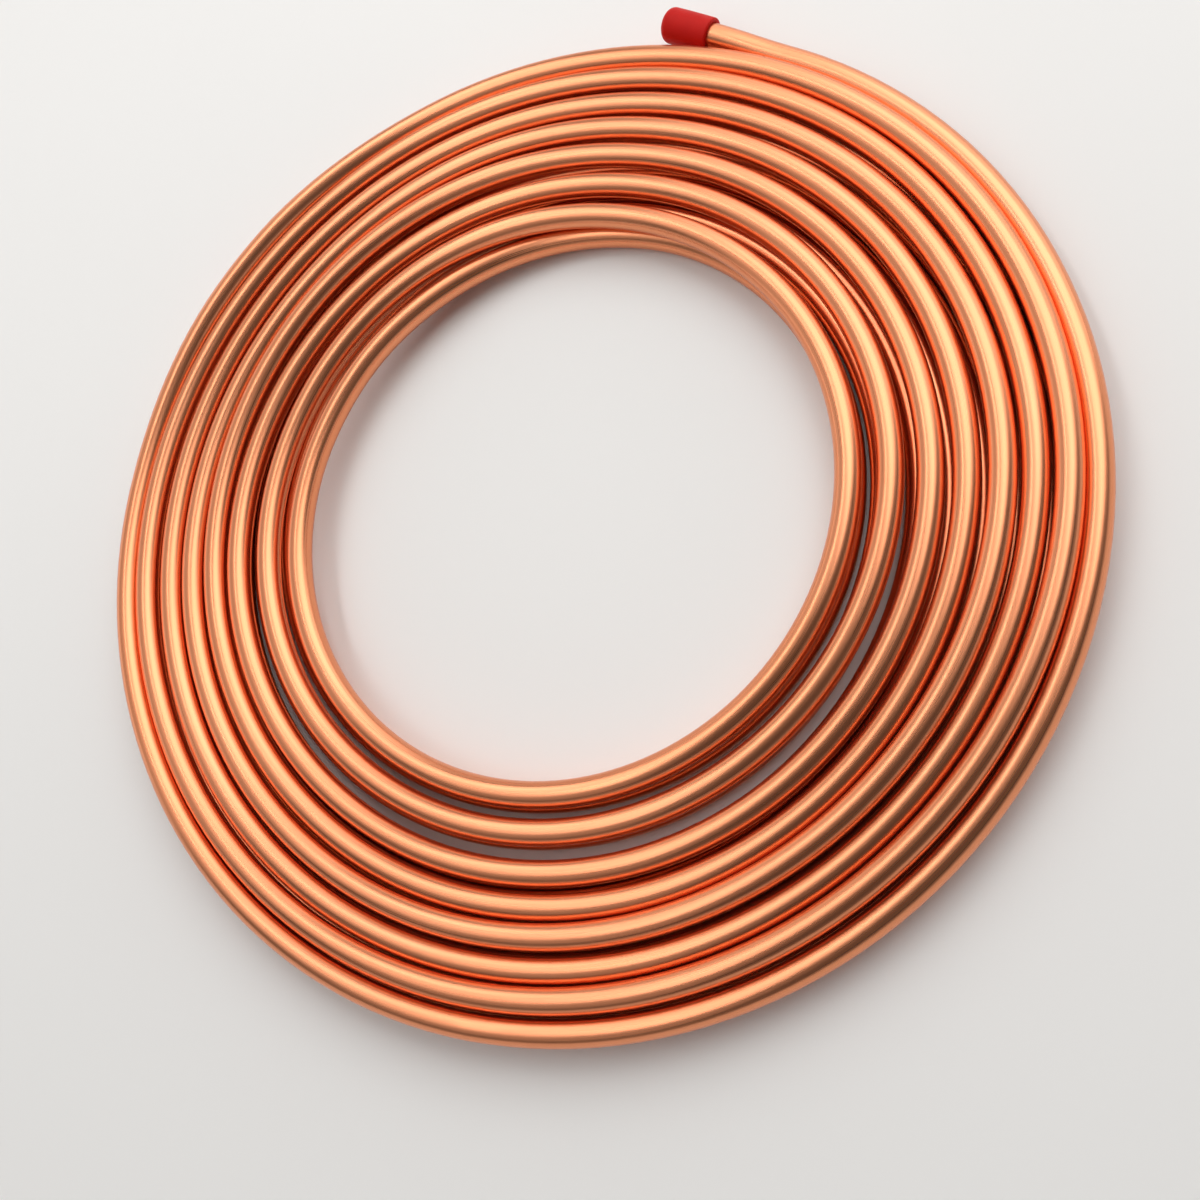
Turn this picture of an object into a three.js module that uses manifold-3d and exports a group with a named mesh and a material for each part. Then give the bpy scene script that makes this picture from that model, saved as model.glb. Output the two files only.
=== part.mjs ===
// Coil of soft copper tube, wound in two flat layers like a pair of stacked pancakes, with a
// push-on plastic cap on each end of the tube. Millimetres, +Z up. The coil lies flat on the
// plane z = 0 and its axis is the Z axis.
//
// The winding is one turned solid with its bore: a scalloped profile, one round for each turn
// of each layer, is revolved about the axis. The tube's two ends leave the outermost turns of
// the upper and the lower layer. One layer is the other turned over about the Y axis, as it is
// in a coil that is wound inwards on one side and back outwards on the other. The upper end
// springs away from the coil, and the lower end lies along its rim.

import * as THREE from 'three';
import { mergeVertices } from 'three/addons/utils/BufferGeometryUtils.js';
import Module from 'manifold-3d';

const wasm = await Module();
wasm.setup();

// Tube
const tubeDiameter = 9.525;
const tubeWall = 0.81;

// Winding, from the outermost turn inwards
const outerTurnRadius = 186.5;
const turnGaps = [0.1, 1.1, 1.1, 0.5, 2.1, 3.8, 4.0];

// Grooves between the turns, and the narrow flat along each turn's crest
const narrowGrooveFloor = 1.5;
const deepGrooveAngle = 30;
const rimGrooveAngle = 60;
const crestFlat = 2;

// Free ends of the tube: where one leaves its turn and where its cap begins, as angles about
// the axis, and how far the capped stretch points away from the coil
const tailLeavesAt = 30;
const capBeginsAt = 53.5;
const upperEndFlare = 10;
const lowerEndFlare = 0;

// Caps
const capDiameter = 13.6;
const capLength = 23.6;
const capEndWall = 2;
const capEndRounding = 2.4;
const capMouthRounding = 0.6;

// Clearances between the solids
const capFit = 0.3;
const capToTurn = 0.35;

// Facets
const turnSegments = 48;
const tubeSides = 12;
const tailSteps = 12;
const capSides = 24;
const roundStep = 40;

const tubeRadius = tubeDiameter / 2;
const capRadius = capDiameter / 2;
const coilHeight = 2 * tubeDiameter;
const upperLayer = coilHeight - tubeRadius;
const turnRadii = turnGaps.reduce(
  (radii, gap) => [...radii, radii.at(-1) - tubeDiameter - gap],
  [outerTurnRadius],
);

const copper = new THREE.MeshStandardMaterial({ color: 0xd07a4a, metalness: 1, roughness: 0.25 });
const redPlastic = new THREE.MeshStandardMaterial({ color: 0xc31d18, metalness: 0, roughness: 0.4 });

// Points along a round, from one angle to another in degrees, both ends included.
function round(x, y, radius, from, to) {
  const steps = Math.ceil(Math.abs(to - from) / roundStep);
  return Array.from({ length: steps + 1 }, (_, i) => {
    const angle = THREE.MathUtils.degToRad(from + ((to - from) * i) / steps);
    return new THREE.Vector2(x + radius * Math.cos(angle), y + radius * Math.sin(angle));
  });
}

// Angle above the turn's middle at which its side ends in the groove towards its neighbour: a
// gap narrower than the groove's floor is bridged high up, a wider one reaches down between
// the layers.
function grooveAngle(gap) {
  const halfChord = (tubeDiameter + gap - narrowGrooveFloor) / tubeDiameter;
  return halfChord < 1 ? THREE.MathUtils.radToDeg(Math.acos(halfChord)) : -deepGrooveAngle;
}

// Upper half of the winding's profile, from the groove round the rim to the groove round the
// bore. Each turn has a small flat on its crest, where it bears on whatever the coil lies on.
function upperProfile() {
  const crestAngle = THREE.MathUtils.radToDeg(Math.acos(crestFlat / tubeDiameter));
  return turnRadii.flatMap((radius, turn) => {
    const outerSide = turn === 0 ? -rimGrooveAngle : grooveAngle(turnGaps[turn - 1]);
    const innerSide = turn === turnGaps.length ? -rimGrooveAngle : grooveAngle(turnGaps[turn]);
    return [
      ...round(radius, upperLayer, tubeRadius, outerSide, crestAngle).slice(0, -1),
      new THREE.Vector2(radius + crestFlat / 2, coilHeight),
      new THREE.Vector2(radius - crestFlat / 2, coilHeight),
      ...round(radius, upperLayer, tubeRadius, 180 - crestAngle, 180 - innerSide).slice(1),
    ];
  });
}

// LatheGeometry turns about its own Y axis, so the turned piece is laid over to stand on +Z.
function turned(profile, segments) {
  return new THREE.LatheGeometry(profile, segments).rotateX(Math.PI / 2);
}

function winding() {
  const upper = upperProfile();
  const lower = upper.map((point) => new THREE.Vector2(point.x, coilHeight - point.y)).reverse();
  return turned([...upper, ...lower, upper[0]], turnSegments);
}

// A free end of the upper layer: where its cap begins and which way the capped stretch points.
// The cap stands clear of the outermost turn, and its side is level with the coil's face.
function freeEnd(flare) {
  const angle = THREE.MathUtils.degToRad(capBeginsAt);
  const sink = capRadius - tubeRadius;
  const reach = outerTurnRadius + Math.sqrt((tubeRadius + capRadius + capToTurn) ** 2 - sink ** 2);
  const heading = THREE.MathUtils.degToRad(capBeginsAt + 90 - flare);
  const direction = new THREE.Vector3(Math.cos(heading), Math.sin(heading), 0);
  return {
    start: new THREE.Vector3(reach * Math.cos(angle), reach * Math.sin(angle), upperLayer - sink),
    direction,
    rotation: new THREE.Quaternion().setFromUnitVectors(new THREE.Vector3(0, 1, 0), direction),
  };
}
const upperEnd = freeEnd(upperEndFlare);
const lowerEnd = freeEnd(lowerEndFlare);
const insertedLength = capLength - capEndWall - capFit;

// Route of a free end: it eases off the outermost turn and ends straight, in its cap.
function tailPath(end) {
  const angle = THREE.MathUtils.degToRad(tailLeavesAt);
  const start = new THREE.Vector3(Math.cos(angle), Math.sin(angle), 0).multiplyScalar(outerTurnRadius);
  start.z = upperLayer;
  const startDirection = new THREE.Vector3(-Math.sin(angle), Math.cos(angle), 0);
  const handle = start.distanceTo(end.start) / 3;
  const cut = end.start.clone().addScaledVector(end.direction, insertedLength);
  const path = new THREE.CurvePath();
  path.add(new THREE.CubicBezierCurve3(
    start,
    start.clone().addScaledVector(startDirection, handle),
    end.start.clone().addScaledVector(end.direction, -handle),
    end.start,
  ));
  path.add(new THREE.LineCurve3(end.start, cut));
  return path;
}

function tail(end) {
  const section = new THREE.Shape().absarc(0, 0, tubeRadius, 0, 2 * Math.PI);
  return new THREE.ExtrudeGeometry(section, {
    extrudePath: tailPath(end),
    steps: tailSteps,
    curveSegments: tubeSides / 2,
  });
}

// The tube's bore, open at its cut end and as deep as the cap reaches over it.
function endBore(end) {
  const overrun = 1;
  const depth = insertedLength + overrun;
  return new THREE.CylinderGeometry(tubeRadius - tubeWall, tubeRadius - tubeWall, depth, tubeSides)
    .translate(0, depth / 2, 0)
    .applyQuaternion(end.rotation)
    .translate(end.start.x, end.start.y, end.start.z);
}

// A cup with a rounded closed end, its mouth at the origin and its closed end along +Y.
function cap() {
  const bore = tubeRadius + capFit;
  const inside = capLength - capEndWall;
  return new THREE.LatheGeometry([
    new THREE.Vector2(0, inside),
    new THREE.Vector2(bore, inside),
    new THREE.Vector2(bore, 0),
    ...round(capRadius - capMouthRounding, capMouthRounding, capMouthRounding, -90, 0),
    ...round(capRadius - capEndRounding, capLength - capEndRounding, capEndRounding, 0, 90),
    new THREE.Vector2(0, capLength),
  ], capSides);
}

function toManifold(geometry) {
  const bare = geometry.clone();
  bare.deleteAttribute('normal');
  bare.deleteAttribute('uv');
  const merged = mergeVertices(bare);
  return new wasm.Manifold(new wasm.Mesh({
    numProp: 3,
    vertProperties: merged.attributes.position.array,
    triVerts: new Uint32Array(merged.index.array),
  }));
}

function toGeometry(manifold) {
  const mesh = manifold.getMesh();
  const geometry = new THREE.BufferGeometry();
  geometry.setAttribute('position', new THREE.BufferAttribute(mesh.vertProperties, 3));
  geometry.setIndex(new THREE.BufferAttribute(mesh.triVerts, 1));
  geometry.computeVertexNormals();
  return geometry;
}

// Turns a piece of the upper layer over into the lower one.
const turnOver = new THREE.Matrix4()
  .makeTranslation(0, 0, coilHeight)
  .multiply(new THREE.Matrix4().makeRotationY(Math.PI));

function copperTube() {
  const solid = toManifold(winding())
    .add(toManifold(tail(upperEnd)))
    .add(toManifold(tail(lowerEnd).applyMatrix4(turnOver)));
  const bored = solid
    .subtract(toManifold(endBore(upperEnd)))
    .subtract(toManifold(endBore(lowerEnd).applyMatrix4(turnOver)));
  return toGeometry(bored);
}

function endCap(name, end) {
  const mesh = new THREE.Mesh(cap(), redPlastic);
  mesh.name = name;
  mesh.quaternion.copy(end.rotation);
  mesh.position.copy(end.start);
  return mesh;
}

const coil = new THREE.Group();
const tube = new THREE.Mesh(copperTube(), copper);
tube.name = 'copper_tube';
const underside = new THREE.Group();
underside.applyMatrix4(turnOver);
underside.add(endCap('end_cap_lower', lowerEnd));
coil.add(tube, endCap('end_cap_upper', upperEnd), underside);

export default coil;
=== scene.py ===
# A coil of soft copper tube, wound in two flat layers, with a red dipped cap on each end.
# One length of tube is swept along its real route: inwards through the upper layer, down to
# the lower layer at the bore, and back outwards to the rim.
#
# Lengths in this script are millimetres and angles degrees, about the coil's axis, unless a
# name says otherwise. A "turn" counts how far the tube has gone round from the outermost
# point of the upper layer.

import math

import bpy
import numpy as np
from mathutils import Matrix, Vector


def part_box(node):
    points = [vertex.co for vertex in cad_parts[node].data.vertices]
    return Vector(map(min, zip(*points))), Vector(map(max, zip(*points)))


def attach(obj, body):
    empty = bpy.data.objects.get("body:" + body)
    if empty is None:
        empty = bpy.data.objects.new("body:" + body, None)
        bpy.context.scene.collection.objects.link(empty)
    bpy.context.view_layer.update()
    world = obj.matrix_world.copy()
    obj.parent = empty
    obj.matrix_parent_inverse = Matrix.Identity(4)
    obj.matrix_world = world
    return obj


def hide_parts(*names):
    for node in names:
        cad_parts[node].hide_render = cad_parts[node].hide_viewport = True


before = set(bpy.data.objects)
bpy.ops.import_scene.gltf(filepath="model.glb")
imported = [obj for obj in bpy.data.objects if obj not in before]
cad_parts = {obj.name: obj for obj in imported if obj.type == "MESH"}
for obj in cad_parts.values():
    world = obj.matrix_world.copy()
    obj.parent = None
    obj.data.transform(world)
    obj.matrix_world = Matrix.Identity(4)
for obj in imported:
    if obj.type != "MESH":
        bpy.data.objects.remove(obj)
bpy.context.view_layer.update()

MM = 0.001

# ---------------------------------------------------------------- the tube and its winding

TUBE_LOW, TUBE_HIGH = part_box("copper_tube")
CAP_LOW, CAP_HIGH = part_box("end_cap_upper")

TUBE_DIAMETER = (TUBE_HIGH.z - TUBE_LOW.z) / MM / 2
TUBE_RADIUS = TUBE_DIAMETER / 2
TUBE_WALL = 0.81
LOWER_HEIGHT = TUBE_RADIUS
UPPER_HEIGHT = TUBE_RADIUS + TUBE_DIAMETER

# The tube's middle line as (turns gone, radius). The upper layer runs inwards, then the tube
# drops to the lower layer under the last turn but one, and runs back outwards.
TURNS_START_ANGLE = 66.0
UPPER_RADII = (
    (0.0, 192.4), (0.25, 189.6), (0.36, 188.2), (0.42, 186.9), (0.5, 186.2), (0.58, 186.2),
    (0.75, 185.5), (0.84, 183.1), (1.0, 183.3),
    (1.12, 182.8), (1.25, 181.0), (1.38, 177.3), (1.5, 175.8), (1.75, 176.3), (2.0, 173.9),
    (2.12, 173.0), (2.25, 170.5), (2.38, 167.7), (2.5, 166.3), (2.65, 164.6), (2.75, 163.8),
    (3.0, 162.8), (3.18, 161.6), (3.25, 160.5), (3.38, 157.1), (3.5, 155.4), (3.75, 153.4),
    (3.82, 152.3), (4.0, 152.0), (4.25, 149.2), (4.38, 148.2), (4.5, 145.6), (4.62, 143.3),
    (4.75, 143.2), (5.0, 140.8), (5.1, 138.9), (5.25, 137.8), (5.38, 136.7), (5.5, 134.4),
    (5.62, 132.7), (5.75, 131.9), (6.0, 128.2), (6.25, 124.5), (6.4, 122.0), (6.5, 120.6),
    (6.65, 118.9), (6.75, 118.2), (7.0, 115.2), (7.1, 112.8), (7.25, 110.5), (7.5, 107.9),
    (7.62, 106.1), (7.75, 103.4), (7.85, 102.0),
)
BORE_RADII = ((7.9, 104.2), (7.95, 108.0), (8.0, 112.0), (8.1, 113.4))
LOWER_RADII = (
    (8.25, 110.5), (8.5, 108.5), (8.75, 114.0), (9.0, 121.8), (9.1, 123.0), (9.25, 121.3),
    (9.5, 121.5), (9.75, 126.4), (10.0, 131.4), (10.1, 132.6), (10.25, 133.5), (10.5, 135.4),
)
LOWER_END_RADII = ((15.65, 186.6), (16.0, 188.8))

# The pitch changes over this many turns either way of each point.
RADIUS_EASE = 0.06
EASE_SAMPLES = 25

# From here on the lower layer lies under the upper layer's grooves, as far as its own turns
# leave room, and climbs to the next groove out twice a turn: how far round the first climb of
# each turn is, and how far one reaches either way, as a share of the way between climbs.
GROOVE_TURNS = (10.75, 15.5)
GROOVES_IN = 16.0
CLIMB_TURN = 0.14
CLIMB_REACH = 0.24
KNOTS_A_TURN = 20
TURN_SPACING = 1.005 * TUBE_DIAMETER

# Past this share of each turn, the lower end, whose place is fixed, limits how far out the
# turns inside it may lie.
BOUNDED_FROM = 0.64

# The upper layer sags a little between the climbs, in all but its outermost and innermost
# half turns. Some stretches stand proud: the turn at the middle of each, its reach either way
# in turns, and its rise.
SAG = 0.8
SAG_SETS_IN = (0.5, 0.7)
SAG_FADES = (7.5, 7.3)
PROUD_STRETCHES = (
    (1.39, 0.3, 2.5), (3.38, 0.3, 2.5), (3.95, 0.12, 1.1), (4.88, 0.18, 2.3), (6.91, 0.14, 1.4),
)

# Where the tube leaves each layer's outermost turn, and where it drops at the bore.
UPPER_END_TURN = 0.061
LOWER_END_TURN = 15.806
CROSSING_TURN = 7.933
CROSSING_DROP_TURNS = 0.103

# The first part of the outermost turn sinks where nothing is under it.
SINKING_TURNS = 0.5
MOST_OVERHANG = 0.8 * TUBE_DIAMETER
MOST_SINK = 4.0

# Further round, the outermost turn rides a little way up over the lower end's cap: the turn
# at the middle of the ride, its reach either way in turns, the share of that reach in which
# it climbs, and its rise.
OVER_CAP_TURN = 0.842
OVER_CAP_REACH = 0.09
OVER_CAP_SLOPE = 0.85
OVER_CAP_LIFT = 2.6

# The caps: a dipped cup with a rounded lip, a wall that swells a little towards the closed
# end, a rounded shoulder and a faint dome.
CAP_RADIUS = (CAP_HIGH.z - CAP_LOW.z) / MM / 2
CAP_LENGTH = 21.0
CAP_SLIP = 0.1
CAP_WALL = CAP_RADIUS - TUBE_RADIUS - CAP_SLIP
CAP_END_WALL = 2.4
CAP_CLEARANCE = 0.3
CAP_MOUTH_ROUNDING = 0.6
CAP_CORNER = 0.8
CAP_SHOULDER = 3.2
CAP_SWELL = 0.25
CAP_DOME = 0.3

# The capped ends: (angle, radius, height) of each cap's mouth, and how many degrees its closed
# end turns out from the coil's rim.
UPPER_CAP_MOUTH = (53.4, 195.2, 11.8)
UPPER_CAP_FLARE = 9.7
LOWER_CAP_MOUTH = (126.5, 190.4, CAP_RADIUS)
LOWER_CAP_FLARE = -5.0
INSERTED_LENGTH = CAP_LENGTH - CAP_END_WALL - CAP_CLEARANCE
END_BORE_DEPTH = 30.0

# Mesh: the step along the tube at the winding's middle radius, the steps of the free ends and
# of a cap's section, the points on each round, the hole at a cap's axis as a share of its
# radius, and the angle from which an edge is sharp.
ROUTE_STEP = 6.0
MIDDLE_RADIUS = 150.0
END_STEPS = 8
INSERTED_STEPS = 4
TUBE_SIDES = 32
CAP_SIDES = 64
MOUTH_STEPS = 8
SIDE_STEPS = 12
SHOULDER_STEPS = 12
AXIS_HOLE = 0.02
SHARP_ANGLE = 40.0


def smoothstep(low, high, value):
    """Eases from 0 at low to 1 at high."""
    share = np.clip((value - low) / (high - low), 0.0, 1.0)
    return share * share * (3.0 - 2.0 * share)


def groove_radius(turn):
    """Middle of the upper layer's groove over this turn of the lower layer."""
    half_turns = 2 * (turn - CLIMB_TURN) + 0.5
    climbing = smoothstep(0.5 - CLIMB_REACH, 0.5 + CLIMB_REACH, half_turns % 1)
    above = turn + GROOVES_IN - np.floor(half_turns) - climbing
    turns, radii = np.transpose(UPPER_RADII)
    return (np.interp(above, turns, radii) + np.interp(above + 1.0, turns, radii)) / 2


def lower_knots():
    """Knots of the lower layer, each turn moved aside where it has no room beside the next."""
    groove = np.arange(*GROOVE_TURNS, 1 / KNOTS_A_TURN)
    in_grooves = tuple(zip(groove, groove_radius(groove)))
    turns, radii = np.transpose(BORE_RADII[-1:] + LOWER_RADII + in_grooves + LOWER_END_RADII)
    turn = np.arange(turns[0], turns[-1], 1 / KNOTS_A_TURN)
    radius = np.interp(turn, turns, radii)
    within = np.arange(len(turn) - KNOTS_A_TURN)
    for knot in within[::-1]:
        if turn[knot] % 1 > BOUNDED_FROM and turn[knot] > GROOVE_TURNS[0]:
            radius[knot] = min(radius[knot], radius[knot + KNOTS_A_TURN] - TURN_SPACING)
    for knot in within:
        next_out = knot + KNOTS_A_TURN
        radius[next_out] = max(radius[next_out], radius[knot] + TURN_SPACING)
    return tuple(zip(turn, radius))


def winding_radius(turn):
    """Radius of the middle line, eased where its pitch changes."""
    turns, radii = np.transpose(UPPER_RADII + BORE_RADII[:-1] + lower_knots())
    turns = np.append(turns[0] - 1.0, turns)
    radii = np.append(2 * radii[0] - radii[1], radii)
    spread = np.linspace(-RADIUS_EASE, RADIUS_EASE, EASE_SAMPLES)
    return np.mean([np.interp(turn + shift, turns, radii) for shift in spread], axis=0)


def sinking(turn, radius):
    """How far a turn sinks where it hangs out over the lower layer's outermost turn."""
    facing = LOWER_END_TURN + UPPER_END_TURN - 1.0
    facing = facing + np.mod(turn - facing, 1.0)
    overhang = np.clip(radius - winding_radius(facing), 0.0, MOST_OVERHANG)
    sink = TUBE_DIAMETER - np.sqrt(TUBE_DIAMETER ** 2 - overhang ** 2)
    return np.where(turn < SINKING_TURNS, np.minimum(sink, MOST_SINK), 0.0)


def rising(turn):
    """How far a turn rides up over the lower cap or stands proud of its layer."""
    over_cap = 1.0 - np.abs(turn - OVER_CAP_TURN) / OVER_CAP_REACH
    lift = OVER_CAP_LIFT * smoothstep(0.0, OVER_CAP_SLOPE, over_cap)
    for proud, reach, rise in PROUD_STRETCHES:
        lift = lift + rise * smoothstep(0.0, 1.0, 1.0 - np.abs(turn - proud) / reach)
    return lift


def upper_height(turn, radius):
    """Height of the upper layer's middle line."""
    sag = SAG * np.sin(2 * math.pi * (turn - CLIMB_TURN)) ** 2
    sag = sag * smoothstep(*SAG_SETS_IN, turn) * smoothstep(*SAG_FADES, turn)
    return UPPER_HEIGHT + rising(turn) - sag - sinking(turn, radius)


def placed(turn, radius, height):
    """Points at these turns, radii and heights."""
    angle = np.radians(TURNS_START_ANGLE - 360.0 * turn)
    return np.column_stack((radius * np.cos(angle), radius * np.sin(angle), height))


def wound_route():
    """Points of the middle line from one free end to the other."""
    step = ROUTE_STEP / (2 * math.pi * MIDDLE_RADIUS)
    turn = np.arange(UPPER_END_TURN, LOWER_END_TURN, step)
    radius = winding_radius(turn)
    drop_starts = CROSSING_TURN - CROSSING_DROP_TURNS
    drop_ends = CROSSING_TURN + CROSSING_DROP_TURNS
    dropped = TUBE_DIAMETER * smoothstep(drop_starts, drop_ends, turn)
    return placed(turn, radius, upper_height(turn, radius) - dropped)


def unit(vector):
    return vector / np.linalg.norm(vector)


def towards(angle):
    """Level unit vector at an angle about the coil's axis."""
    return np.array((math.cos(math.radians(angle)), math.sin(math.radians(angle)), 0.0))


def free_end(start, before, cap_mouth, direction_angle):
    """Points from the end of the winding to the cut end of the tube, inside its cap."""
    angle, radius, height = cap_mouth
    mouth = radius * towards(angle) + np.array((0.0, 0.0, height))
    direction = towards(direction_angle)
    handle = np.linalg.norm(mouth - start) / 3
    controls = (start, start + unit(start - before) * handle, mouth - direction * handle, mouth)
    steps = np.linspace(0.0, 1.0, END_STEPS + 1)[1:, None]
    run = sum(
        count * (1 - steps) ** (3 - power) * steps ** power * control
        for power, (count, control) in enumerate(zip((1, 3, 3, 1), controls))
    )
    inside = np.linspace(0.0, INSERTED_LENGTH, INSERTED_STEPS + 1)[1:, None]
    return np.vstack((run, mouth + inside * direction))


def tube_route():
    """Points of the tube's middle line from one cut end to the other."""
    wound = wound_route()
    upper_direction = UPPER_CAP_MOUTH[0] + 90 - UPPER_CAP_FLARE
    upper = free_end(wound[0], wound[1], UPPER_CAP_MOUTH, upper_direction)
    lower_direction = LOWER_CAP_MOUTH[0] - 90 + LOWER_CAP_FLARE
    lower = free_end(wound[-1], wound[-2], LOWER_CAP_MOUTH, lower_direction)
    return np.vstack((upper[::-1], wound, lower))


def lengths_along(points):
    """Length of the route up to each of its points."""
    steps = np.linalg.norm(np.diff(points, axis=0), axis=1)
    return np.append(0.0, np.cumsum(steps))


def make_object(name, verts, faces):
    """A smooth-shaded object from points in millimetres."""
    mesh = bpy.data.meshes.new(name)
    mesh.from_pydata((np.asarray(verts) * MM).tolist(), [], faces)
    mesh.validate()
    mesh.polygons.foreach_set("use_smooth", [True] * len(mesh.polygons))
    mesh.set_sharp_from_angle(angle=math.radians(SHARP_ANGLE))
    piece = bpy.data.objects.new(name, mesh)
    bpy.context.scene.collection.objects.link(piece)
    return piece


def ring_faces(rings, sides):
    """Quads between each ring and the next, and a flat face at each end."""
    faces = []
    for ring in range(rings - 1):
        here, ahead = ring * sides, (ring + 1) * sides
        for side in range(sides):
            beside = (side + 1) % sides
            faces.append((here + side, here + beside, ahead + beside, ahead + side))
    faces.append(tuple(range(sides - 1, -1, -1)))
    last = (rings - 1) * sides
    faces.append(tuple(last + side for side in range(sides)))
    return faces


def tube_mesh(points):
    """The swept tube, turned in at each cut end into a short length of its bore."""
    along = lengths_along(points)
    ahead = np.gradient(points, along, axis=0)
    ahead /= np.linalg.norm(ahead, axis=1)[:, None]
    across = np.cross((0.0, 0.0, 1.0), ahead)
    across /= np.linalg.norm(across, axis=1)[:, None]
    upward = np.cross(ahead, across)
    bore = TUBE_RADIUS - TUBE_WALL
    inside = int(END_BORE_DEPTH / ROUTE_STEP)
    last = len(points) - 1
    stations = [(i, bore) for i in range(inside, -1, -1)]
    stations += [(i, TUBE_RADIUS) for i in range(len(points))]
    stations += [(last - i, bore) for i in range(inside + 1)]
    index = np.array([station[0] for station in stations])
    radius = np.array([station[1] for station in stations])
    angle = np.linspace(0, 2 * math.pi, TUBE_SIDES, endpoint=False)
    round_x, round_y = np.cos(angle), np.sin(angle)
    side = across[index][:, None, :] * round_x[None, :, None]
    side = side + upward[index][:, None, :] * round_y[None, :, None]
    verts = points[index][:, None, :] + side * radius[:, None, None]
    piece = make_object("tube", verts.reshape(-1, 3), ring_faces(len(stations), TUBE_SIDES))
    store_straightened(piece, along[index], radius, round_x, round_y)
    return piece


def store_straightened(piece, along, radius, round_x, round_y):
    """Keeps where each point would be if the tube were straight, in metres, for its finish."""
    flat = np.empty((len(along), TUBE_SIDES, 3))
    flat[:, :, 0] = along[:, None]
    flat[:, :, 1] = radius[:, None] * round_x[None, :]
    flat[:, :, 2] = radius[:, None] * round_y[None, :]
    attribute = piece.data.attributes.new("straightened", "FLOAT_VECTOR", "POINT")
    attribute.data.foreach_set("vector", (flat * MM).astype(np.float32).ravel())


def cap_profile():
    """Half section of a dipped cap: (distance along it, radius), from the bore's end outwards."""
    bore = CAP_RADIUS - CAP_WALL
    depth = CAP_LENGTH - CAP_END_WALL
    profile = [(depth, bore * AXIS_HOLE), (depth, bore - CAP_CORNER), (depth - CAP_CORNER, bore)]
    profile += [(share * depth, bore) for share in (0.75, 0.5, 0.25)]
    middle = CAP_RADIUS - CAP_WALL / 2 - CAP_SWELL
    for turn in np.linspace(0.0, math.pi, MOUTH_STEPS + 1):
        reach = CAP_MOUTH_ROUNDING * (1 - math.sin(turn))
        profile.append((reach, middle - CAP_WALL / 2 * math.cos(turn)))
    straight = CAP_LENGTH - CAP_SHOULDER
    for share in np.linspace(0.1, 0.95, SIDE_STEPS):
        profile.append((share * straight, CAP_RADIUS - CAP_SWELL * (1 - share) ** 2))
    flat = CAP_RADIUS - CAP_SHOULDER
    for turn in np.linspace(0.0, math.pi / 2, SHOULDER_STEPS + 1):
        reach = straight + CAP_SHOULDER * math.sin(turn)
        profile.append((reach, flat + CAP_SHOULDER * math.cos(turn)))
    for share in (0.66, 0.33, AXIS_HOLE):
        profile.append((CAP_LENGTH + CAP_DOME * (1 - share ** 2), flat * share))
    return profile


def cap_mesh(name, mouth, direction):
    """A cap turned about the capped end of the tube."""
    profile = cap_profile()
    across = unit(np.cross(direction, (0.0, 0.0, 1.0)))
    upward = np.cross(direction, across)
    angles = np.linspace(0, 2 * math.pi, CAP_SIDES, endpoint=False)
    spokes = [across * math.cos(angle) + upward * math.sin(angle) for angle in angles]
    rings = [(mouth + direction * reach, radius) for reach, radius in profile]
    verts = [middle + radius * spoke for middle, radius in rings for spoke in spokes]
    return make_object(name, verts, ring_faces(len(profile), CAP_SIDES))


# ---------------------------------------------------------------- finishes

def linear(colour):
    """sRGB hex to linear RGBA."""
    channels = [int(colour[i:i + 2], 16) / 255 for i in (1, 3, 5)]
    curve = [c / 12.92 if c <= 0.04045 else ((c + 0.055) / 1.055) ** 2.4 for c in channels]
    return (*curve, 1.0)


def add(tree, kind, inputs=None, **settings):
    """Adds a node with its settings, input values and links."""
    made = tree.nodes.new("ShaderNode" + kind)
    for name, value in settings.items():
        setattr(made, name, value)
    for name, value in (inputs or {}).items():
        if isinstance(value, bpy.types.NodeSocket):
            tree.links.new(value, made.inputs[name])
        else:
            made.inputs[name].default_value = value
    return made


def noise_scale(size):
    """Scale of a noise pattern whose patches are this many millimetres across."""
    return 1 / (size * MM)


def new_material(name):
    """A material with an empty node tree."""
    material = bpy.data.materials.new(name)
    material.use_nodes = True
    material.node_tree.nodes.clear()
    return material, material.node_tree


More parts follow.
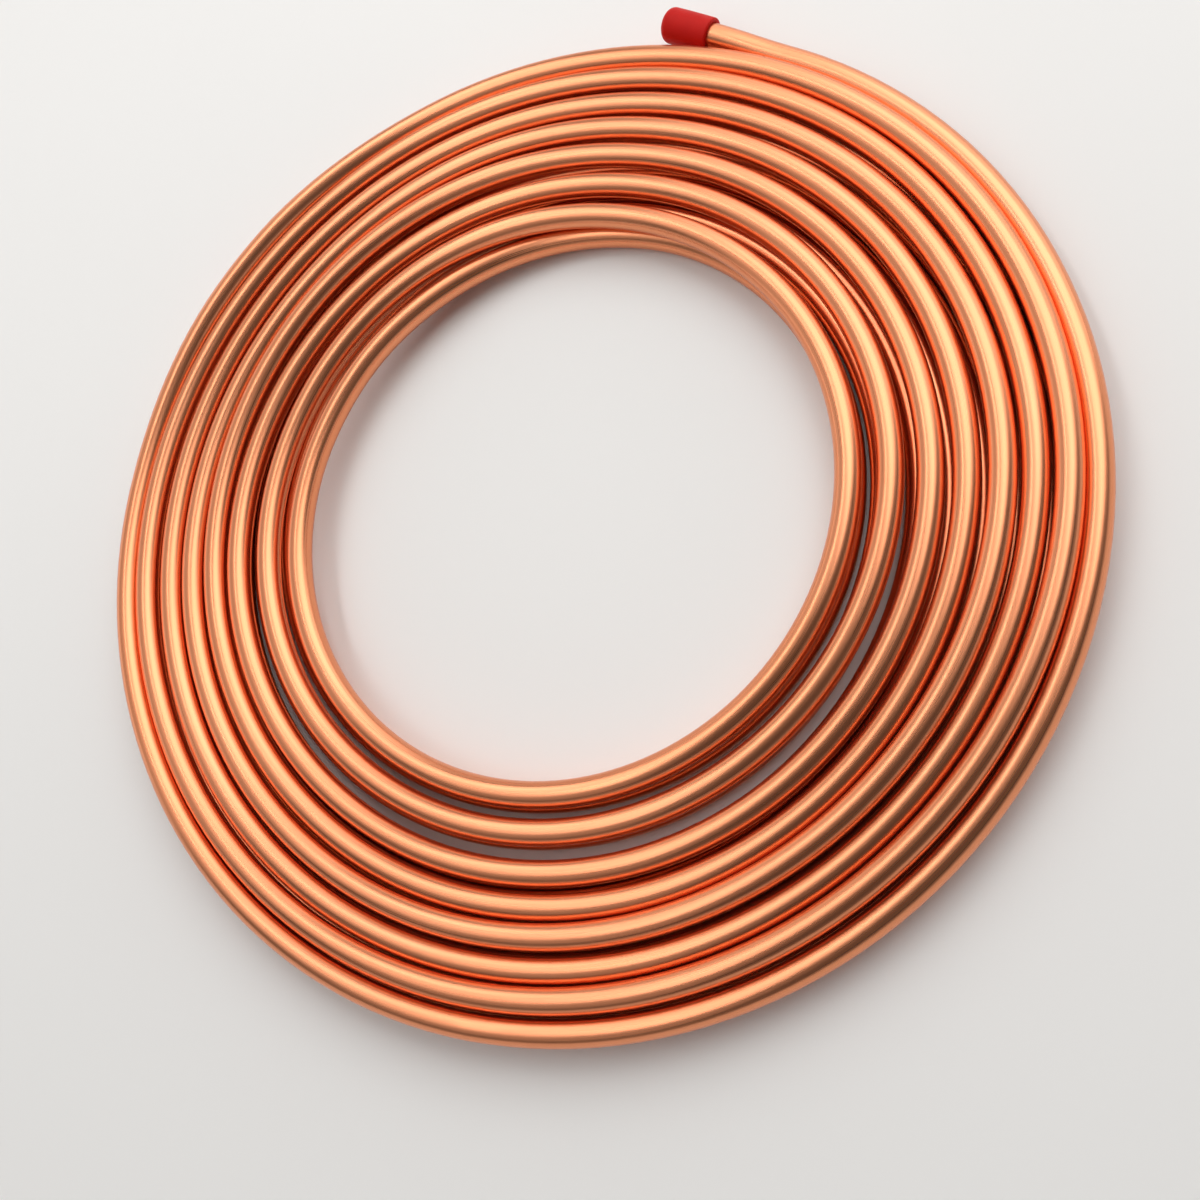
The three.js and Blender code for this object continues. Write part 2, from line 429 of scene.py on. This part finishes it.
def drawn_copper():
    # Soft phosphorus-deoxidised copper, drawn through a die and bright annealed: a satin mirror
    # with long soft highlights, faint lines along the tube and a slow drift of its colour.
    material, tree = new_material("drawn_bright_copper")
    place = add(tree, "Attribute", attribute_name="straightened").outputs["Vector"]

    # The annealing leaves patches about 110 mm long and 17 mm wide.
    patch = (noise_scale(111.1), noise_scale(16.67), noise_scale(16.67))
    patch_place = add(tree, "VectorMath", {0: place, 1: patch}, operation="MULTIPLY")
    patches = add(tree, "TexNoise", {
        "Vector": patch_place.outputs["Vector"], "Scale": 1.0, "Detail": 3.0,
    })
    colour = add(tree, "MixRGB", {
        "Fac": patches.outputs["Fac"],
        "Color1": linear("#E89165"),
        "Color2": linear("#EF9E74"),
    })

    # The die's lines are some hundredths of a millimetre apart, too fine to show, and are drawn
    # about 0.4 mm apart.
    line = (noise_scale(83.3), noise_scale(0.3846), noise_scale(0.3846))
    line_place = add(tree, "VectorMath", {0: place, 1: line}, operation="MULTIPLY")
    lines = add(tree, "TexNoise", {
        "Vector": line_place.outputs["Vector"], "Scale": 1.0, "Detail": 2.0,
    })
    rough = add(tree, "MapRange", {
        "Value": lines.outputs["Fac"],
        "From Min": 0.3, "From Max": 0.7,
        "To Min": 0.26, "To Max": 0.32,
    })
    bump = add(tree, "Bump", {
        "Strength": 0.02, "Distance": 0.1 * MM, "Height": lines.outputs["Fac"],
    })
    shader = add(tree, "BsdfPrincipled", {
        "Base Color": colour.outputs["Color"],
        "Metallic": 1.0,
        "Roughness": rough.outputs["Result"],
        "Normal": bump.outputs["Normal"],
    })
    add(tree, "OutputMaterial", {"Surface": shader.outputs["BSDF"]})
    return material


def dipped_vinyl():
    # Plasticised PVC, dip moulded on a rod and pulled off: an even red with a broad weak sheen
    # and a faint orange peel.
    material, tree = new_material("dipped_red_vinyl")
    place = add(tree, "TexCoord").outputs["Object"]

    # The pigment varies in patches of about 6 mm.
    mottle = add(tree, "TexNoise", {"Vector": place, "Scale": noise_scale(6.25), "Detail": 3.0})
    colour = add(tree, "MixRGB", {
        "Fac": mottle.outputs["Fac"],
        "Color1": linear("#BA1008"),
        "Color2": linear("#CA150A"),
    })

    # The orange peel is under half a millimetre, too fine to show, and is drawn at 1.1 mm.
    peel = add(tree, "TexNoise", {"Vector": place, "Scale": noise_scale(1.111), "Detail": 2.0})
    bump = add(tree, "Bump", {
        "Strength": 0.15, "Distance": 0.2 * MM, "Height": peel.outputs["Fac"],
    })
    shader = add(tree, "BsdfPrincipled", {
        "Base Color": colour.outputs["Color"],
        "Roughness": 0.5,
        "Specular IOR Level": 0.15,
        "Normal": bump.outputs["Normal"],
    })
    add(tree, "OutputMaterial", {"Surface": shader.outputs["BSDF"]})
    return material


def matte_floor():
    # Matte emulsion rolled on a smooth board: an even pale ground that shows a soft shadow.
    material, tree = new_material("matte_pale_floor")
    place = add(tree, "TexCoord").outputs["Object"]

    # The coat varies over about a third of a metre.
    coat = add(tree, "TexNoise", {"Vector": place, "Scale": noise_scale(333.3), "Detail": 2.0})
    colour = add(tree, "MixRGB", {
        "Fac": coat.outputs["Fac"],
        "Color1": linear("#F0EEEB"),
        "Color2": linear("#F4F2EF"),
    })
    shader = add(tree, "BsdfPrincipled", {"Base Color": colour.outputs["Color"], "Roughness": 0.9})
    add(tree, "OutputMaterial", {"Surface": shader.outputs["BSDF"]})
    return material


# ---------------------------------------------------------------- the object

def dress(piece, material, slot, *nodes):
    """Gives a piece its finish, hangs it from the root's empty and hides the CAD nodes that it
    stands for.
    """
    piece.data.materials.append(material)
    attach(piece, "root")
    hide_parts(*nodes)


def build_coil():
    points = tube_route()
    dress(tube_mesh(points), drawn_copper(), "copper", "copper_tube")
    vinyl = dipped_vinyl()
    for name, end, inner in (("cap_upper", 0, 1), ("cap_lower", -1, -2)):
        direction = unit(points[end] - points[inner])
        mouth = points[end] - direction * INSERTED_LENGTH
        dress(cap_mesh(name, mouth, direction), vinyl, "cap_plastic", "end_" + name)


# ---------------------------------------------------------------- floor, light and camera

FLOOR_RADIUS = 1150.0
FLOOR_SIDES = 128

# The room: a pale band round the horizon, up to one sine of elevation, and dark above another.
# The pale band keeps the lower flanks of the copper from going black.
BACKDROP_GREY = 0.75
OVERHEAD_GREY = 0.09
BACKDROP_TOP = 0.15
OVERHEAD_FROM = 0.38

# Softboxes: direction from the coil as (azimuth, elevation, roll), then distance, width and
# height in metres, and radiance. The key is large, with a brighter core inside it, and gives
# each turn a broad highlight that fades at its edges. The strip draws a narrow bright line on
# the turns, the crown lifts their tops, and the fill and side keep the left from going dark.
SOFTBOXES = {
    "key": ((44.0, 41.0, 0.0), 1.6, 2.0, 2.1, 1.15),
    "key_core": ((42.0, 53.0, 0.0), 1.5, 1.2, 1.2, 1.45),
    "strip": ((121.0, 63.5, -35.5), 1.6, 0.24, 2.7, 3.5),
    "crown": ((178.0, 63.0, 0.0), 1.6, 0.9, 0.6, 0.9),
    "fill": ((141.0, 30.0, 0.0), 2.0, 2.6, 2.2, 0.48),
    "side": ((225.0, 48.0, 0.0), 1.8, 1.4, 1.0, 0.35),
}

# The camera: its place, the directions of its top and its back, its focal length, and how far
# it sees, in metres.
CAMERA_PLACE = (116.4, -194.7, 419.3)
CAMERA_UP = (0.3571, 0.9028, 0.240)
CAMERA_BACK = (0.2409, -0.3369, 0.910)
CAMERA_LENS = 37.72
CAMERA_REACH = 50.0


def build_floor():
    angle = np.linspace(0, 2 * math.pi, FLOOR_SIDES, endpoint=False)
    rim = np.column_stack((np.cos(angle), np.sin(angle), 0 * angle)) * FLOOR_RADIUS
    floor = make_object("floor", rim, [tuple(range(FLOOR_SIDES))])
    floor.data.materials.append(matte_floor())


def build_room():
    """The grey surroundings that the copper reflects."""
    world = bpy.data.worlds.new("studio")
    world.use_nodes = True
    tree = world.node_tree
    up = add(tree, "SeparateXYZ", {"Vector": add(tree, "TexCoord").outputs["Generated"]})
    grey = add(tree, "MapRange", {
        "Value": up.outputs["Z"],
        "From Min": BACKDROP_TOP, "From Max": OVERHEAD_FROM,
        "To Min": BACKDROP_GREY, "To Max": OVERHEAD_GREY,
    }, interpolation_type="SMOOTHSTEP")
    background = tree.nodes["Background"]
    background.inputs["Color"].default_value = linear("#FFFFFF")
    tree.links.new(grey.outputs["Result"], background.inputs["Strength"])
    bpy.context.scene.world = world


def add_softbox(name, angles, distance, width, height, radiance):
    """A rectangular lamp that faces the coil, as bright to look at whatever its size."""
    azimuth, elevation, roll = (math.radians(angle) for angle in angles)
    direction = Vector((
        math.cos(azimuth) * math.cos(elevation),
        math.sin(azimuth) * math.cos(elevation),
        math.sin(elevation),
    ))
    lamp = bpy.data.lights.new(name, "AREA")
    lamp.shape = "RECTANGLE"
    lamp.size = width
    lamp.size_y = height
    lamp.energy = radiance * math.pi * width * height
    facing = direction.to_track_quat("Z", "Y").to_matrix().to_4x4()
    facing = facing @ Matrix.Rotation(roll, 4, "Z")
    box = bpy.data.objects.new(name, lamp)
    box.matrix_world = Matrix.Translation(direction * distance) @ facing
    bpy.context.scene.collection.objects.link(box)


def build_lamps():
    for name, settings in SOFTBOXES.items():
        add_softbox(name, *settings)


def build_camera():
    back = Vector(CAMERA_BACK).normalized()
    right = Vector(CAMERA_UP).cross(back).normalized()
    turned = Matrix((right, back.cross(right), back)).transposed().to_4x4()
    camera = bpy.data.cameras.new("camera")
    camera.lens = CAMERA_LENS
    camera.clip_end = CAMERA_REACH
    holder = bpy.data.objects.new("camera", camera)
    holder.matrix_world = Matrix.Translation(Vector(CAMERA_PLACE) * MM) @ turned
    bpy.context.scene.collection.objects.link(holder)
    bpy.context.scene.camera = holder


build_coil()
build_floor()
build_room()
build_lamps()
build_camera()
bpy.context.scene.view_settings.view_transform = "Standard"
